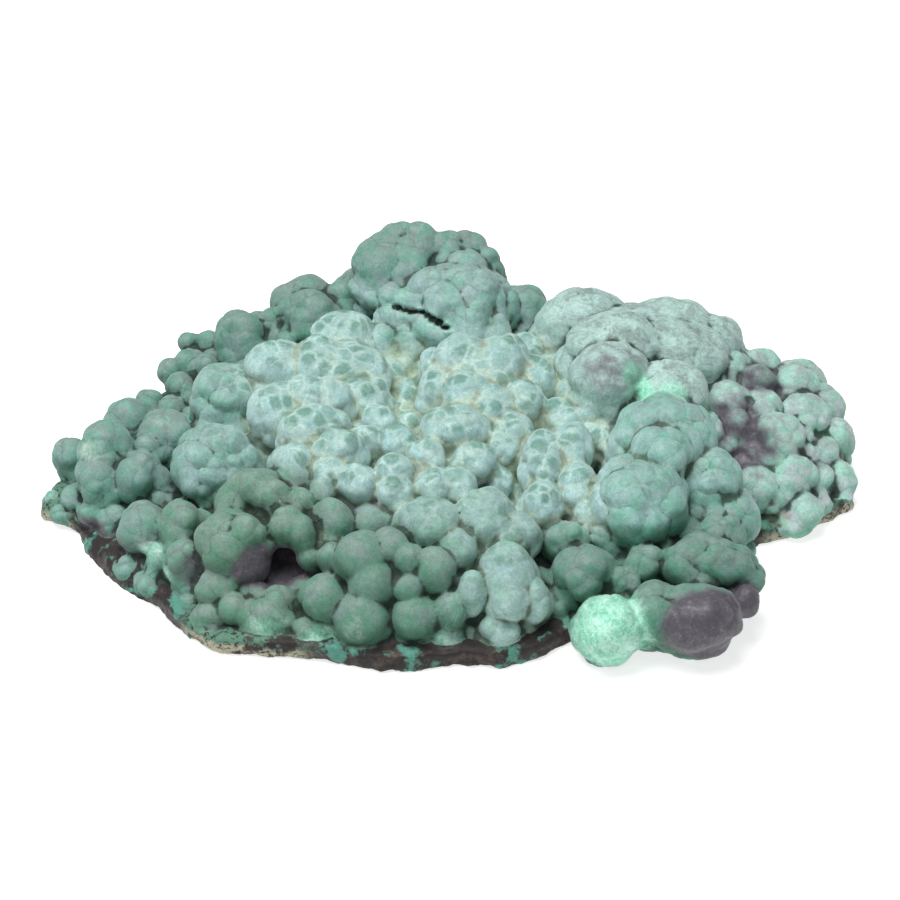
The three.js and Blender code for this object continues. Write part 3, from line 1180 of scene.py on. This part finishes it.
@dataclass
class Specimen:
    """The whole specimen: its growth and host rock fused into one closed piece, with relief and finish."""

    voxel_mm: float = 0.62
    triangles: int = 192_000
    edge_room_mm: float = 0.15
    zone_reach_mm: float = 7.0
    zone_fall: float = 2.5  # how fast a knob's share falls over that reach
    zone_core: float = 0.8  # how much of a knob's size is wholly its zone's own
    chunk: int = 20_000  # how many points are worked out at a time
    patch_edge: tuple[float, float] = (1.35, 0.55)
    crease_rounds: int = 5
    hollow_rounds: int = 40
    rock_gap_mm: tuple[float, float] = (0.2, 1.2)  # how clear of the knobs the bare rock begins and is full
    rock_top_mm: tuple[float, float] = (12, 8)  # the heights where it begins and is full
    rock_foot_mm: tuple[float, float] = (2.0, 0.8)  # the heights where the foot turns to rock
    crust_tip_mm: tuple[float, float] = (-110, -116)  # the places along x where the crust begins and is full
    crust_corner_mm: tuple[tuple[float, float], tuple[float, float]] = ((-36, -46), (-80, -72))
    crust_right_mm: tuple[float, float] = (90, 98)
    growth: Growth = field(default_factory=Growth)
    rock: HostRock = field(default_factory=HostRock)
    relief: Relief = field(default_factory=Relief)
    piece: bpy.types.Object | None = None

    def build(self) -> bpy.types.Object:
        """Fuse the masses, raise the relief, thin the mesh, paint it and dress it.

        Returns:
            The finished piece.
        """
        self.fuse()
        log.info("%d small knobs, fused to %d points", len(self.growth.small), len(self.piece.data.vertices))
        self.raise_relief()
        self.settle()
        self.thin()
        self.paint()
        self.dress()
        log.info("%s: %d triangles", self.piece.name, len(self.piece.data.polygons))
        return self.piece

    def fuse(self) -> None:
        """Join the growth and the rock and remesh them to one closed skin."""
        parts = [self.growth.build(), self.rock.build()]
        deselect()
        for part in parts:
            part.select_set(True)
        bpy.context.view_layer.objects.active = parts[0]
        bpy.ops.object.join()
        self.piece = bpy.context.object
        self.piece.name = "malachite_growth"
        voxel = self.voxel_mm * MM
        finish_modifier(self.piece, "REMESH", mode="VOXEL", voxel_size=voxel, use_smooth_shade=True)
        finish_modifier(self.piece, "SMOOTH", factor=0.5, iterations=1)

    def near(self, points: np.ndarray, quality: Callable[[ZoneLook], float]) -> np.ndarray:
        """One quality of the zones' looks, spread from their knobs to the points near them.

        Args:
            points: Points in millimetres.
            quality: Reads the quality from a zone's look.

        Returns:
            One value for each point.
        """
        centres = np.array([knob.centre for knob in self.growth.knobs])
        sizes = np.array([max(knob.half_axes) for knob in self.growth.knobs])
        given = np.array([quality(LOOKS[zone]) for zone in self.growth.zones])
        result = np.empty(len(points))
        for start in range(0, len(points), self.chunk):
            part = points[start:start + self.chunk]
            far = np.linalg.norm(part[:, None] - centres[None], axis=2) - sizes[None] * self.zone_core
            weight = np.exp(-np.maximum(far, 0) / self.zone_reach_mm * self.zone_fall) + NEARLY_NOTHING
            result[start:start + self.chunk] = (weight * given).sum(axis=1) / weight.sum(axis=1)
        return result

    def bare_rock(self, points: np.ndarray) -> np.ndarray:
        """Where the surface is host rock, or low on the core and clear of all knobs.

        Args:
            points: Points in millimetres.

        Returns:
            One number for each point, 1 on rock and 0 elsewhere.
        """
        nearest = np.full(len(points), np.inf)
        for knob in (*self.growth.knobs, *self.growth.roots, *self.growth.small):
            gap = (knob.reach(points) - 1) * min(knob.half_axes)
            nearest = np.minimum(nearest, gap)
        height = points[:, 2]
        open_rock = smoothstep(*self.rock_gap_mm, nearest) * smoothstep(*self.rock_top_mm, height)
        return np.maximum(open_rock, smoothstep(*self.rock_foot_mm, height))

    def raise_relief(self) -> None:
        """Work out where each kind of relief goes, and raise it."""
        surface = Surface(self.piece.data)
        points = surface.points()
        rock = self.bare_rock(points)
        surface.store("rock", rock)
        surface.store("split", self.patch(points, [SHADED_HOLLOW_ROW, *self.split_rows()]))
        surface.store("fine", self.near(points, lambda look: look.fine) * (1 - rock))
        surface.store("broad", self.near(points, lambda look: look.broad) * (1 - rock))
        finish_modifier(self.piece, "NODES", node_group=self.relief.tree())

    def split_rows(self) -> list[Row]:
        """The small masses that make up the split, along its edge and into the crown.

        Returns:
            One row for each mass, with its strength last.
        """
        back, up = SPLIT_COURSE
        last = SPLIT_REACH_MM + SPLIT_STEP_MM / 2
        return [
            (x, y + step * back, z + step * up, *SPLIT_MASS_MM, half_width, 1.0)
            for x, y, z, half_width in SPLIT_PATH
            for step in np.arange(-SPLIT_REACH_MM, last, SPLIT_STEP_MM)
        ]

    def keep_inside(self) -> Surface:
        """Keep the surface inside the frame's box, so that it rests on the same plane.

        Returns:
            The surface.
        """
        low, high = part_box(CAD_NODE)
        room = self.edge_room_mm
        surface = Surface(self.piece.data)
        lowest = np.array(low) / MM + (room, room, 0)
        highest = np.array(high) / MM - room
        surface.move(np.clip(surface.points(), lowest, highest))
        return surface

    def settle(self) -> None:
        """Fit the surface to the frame's box and measure its creases and hollows."""
        surface = self.keep_inside()
        surface.store("crease", surface.hollow(self.crease_rounds))
        surface.store("hollow", surface.hollow(self.hollow_rounds))

    def thin(self) -> None:
        """Take the mesh down to the triangles that its shape needs."""
        self.piece.data.calc_loop_triangles()
        share = self.triangles / len(self.piece.data.loop_triangles)
        finish_modifier(self.piece, "DECIMATE", ratio=min(share, 1.0), use_collapse_triangulate=True)
        self.keep_inside()

    def paint(self) -> None:
        """Store the point attributes that the finish reads."""
        surface = Surface(self.piece.data)
        points = surface.points()
        surface.store("top", surface.averaged(surface.normals(), 2)[:, 2])
        surface.store("bloom", self.near(points, lambda look: look.bloom))
        surface.store("swirl", self.near(points, lambda look: look.swirl))
        along = points[:, 0]
        outer, inner = self.crust_corner_mm
        corner = smoothstep(*outer, along) * smoothstep(*inner, along)
        tip, right = smoothstep(*self.crust_tip_mm, along), smoothstep(*self.crust_right_mm, along)
        surface.store("crust", np.maximum.reduce([tip, corner, right]))
        for channel, name in enumerate(TINT_NAMES):
            surface.store(name, self.near(points, lambda look, channel=channel: look.tint[channel]))
        for stain, rows in PATCHES.items():
            surface.store(stain.value, self.patch(points, rows))

    def patch(self, points: np.ndarray, rows: Iterable[Row]) -> np.ndarray:
        """How strongly a patch covers each point.

        Args:
            points: Points in millimetres.
            rows: The patch's masses, each with its strength as its last number.

        Returns:
            One number for each point, 0 where the patch isn't.
        """
        amount = np.zeros(len(points))
        for *shape, strength in rows:
            reach = Knob.from_row(tuple(shape)).reach(points)
            amount = np.maximum(amount, smoothstep(*self.patch_edge, reach) * strength)
        return amount

    def dress(self) -> None:
        """Give the piece its finish and its place in the frame."""
        self.piece.data.materials.clear()
        self.piece.data.materials.append(MalachiteFinish().material(self.relief))
        self.piece.data.polygons.foreach_set("use_smooth", [True] * len(self.piece.data.polygons))
        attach(self.piece, BODY)
        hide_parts(CAD_NODE)


@dataclass(frozen=True)
class Lamp:
    """A square soft light. Lengths are in metres and power in watts."""

    name: str
    place: tuple[float, float, float]
    side: float
    power: float

    def hang(self, target: Vector) -> None:
        """Hang the light.

        Args:
            target: Where it points.
        """
        bpy.ops.object.light_add(type="AREA", location=self.place)
        lamp = bpy.context.object
        lamp.name = self.name
        lamp.data.shape = "SQUARE"
        lamp.data.size = self.side
        lamp.data.energy = self.power
        lamp.rotation_mode = "QUATERNION"
        lamp.rotation_quaternion = (target - Vector(self.place)).to_track_quat("-Z", "Y")


@dataclass
class Studio:
    """A pale floor, soft light from above and the camera. Lengths are in metres."""

    camera_distance: float = 0.9
    camera_elevation_deg: float = 36.87
    target: tuple[float, float, float] = (0.0, 0.0, 0.02)
    lens_mm: float = 120.0
    sensor_mm: float = 36.0
    nearest: float = 0.01
    floor_side: float = 8.0
    floor_colour: Colour = (0.5, 0.5, 0.5, 1)
    floor_glow: float = 0.72
    floor_roughness: float = 0.9
    floor_specular: float = 0.1
    air_colour: Colour = (0.96, 0.98, 1.0, 1)
    air_glow: float = 0.22
    lamps: tuple[Lamp, ...] = (
        Lamp("overhead", (-0.2, -0.05, 1.05), 0.7, 15.2),
        Lamp("front_fill", (-0.4, -1.1, 0.8), 0.9, 1.5),
    )

    def camera(self) -> None:
        """Set the camera up in front of and above the specimen."""
        rise = math.radians(self.camera_elevation_deg)
        back = Vector((0, -math.cos(rise), math.sin(rise)))
        bpy.ops.object.camera_add(location=Vector(self.target) + back * self.camera_distance)
        camera = bpy.context.object
        camera.rotation_mode = "QUATERNION"
        camera.rotation_quaternion = (-back).to_track_quat("-Z", "Y")
        camera.data.lens = self.lens_mm
        camera.data.sensor_width = self.sensor_mm
        camera.data.clip_start = self.nearest
        bpy.context.scene.camera = camera

    def floor(self) -> None:
        """Lay a plain pale floor under the specimen. It glows a little, so that shadows on it stay faint."""
        deselect()
        bpy.ops.mesh.primitive_plane_add(size=self.floor_side, location=(0, 0, 0))
        floor = bpy.context.object
        floor.name = "floor"
        material = bpy.data.materials.new("pale_floor")
        material.use_nodes = True
        shader = material.node_tree.nodes["Principled BSDF"]
        for name, value in (
            ("Base Color", self.floor_colour), ("Emission Color", (1, 1, 1, 1)),
            ("Emission Strength", self.floor_glow), ("Roughness", self.floor_roughness),
            ("Specular IOR Level", self.floor_specular),
        ):
            shader.inputs[name].default_value = value
        floor.data.materials.append(material)

    def surroundings(self) -> None:
        """Fill the air round the specimen with faint pale light."""
        world = bpy.data.worlds.new("surroundings")
        world.use_nodes = True
        background = world.node_tree.nodes["Background"]
        background.inputs["Color"].default_value = self.air_colour
        background.inputs["Strength"].default_value = self.air_glow
        bpy.context.scene.world = world
        bpy.context.scene.view_settings.view_transform = "Standard"

    def build(self) -> None:
        """Set up the camera, the floor, the lamps and the pale surroundings."""
        self.camera()
        self.floor()
        for lamp in self.lamps:
            lamp.hang(Vector(self.target))
        self.surroundings()


def main() -> None:
    """Build the studio and the specimen around the frame."""
    logging.basicConfig(level=logging.INFO, format="%(name)s: %(message)s")
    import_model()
    Studio().build()
    Specimen().build()


if __name__ == "__main__":
    main()
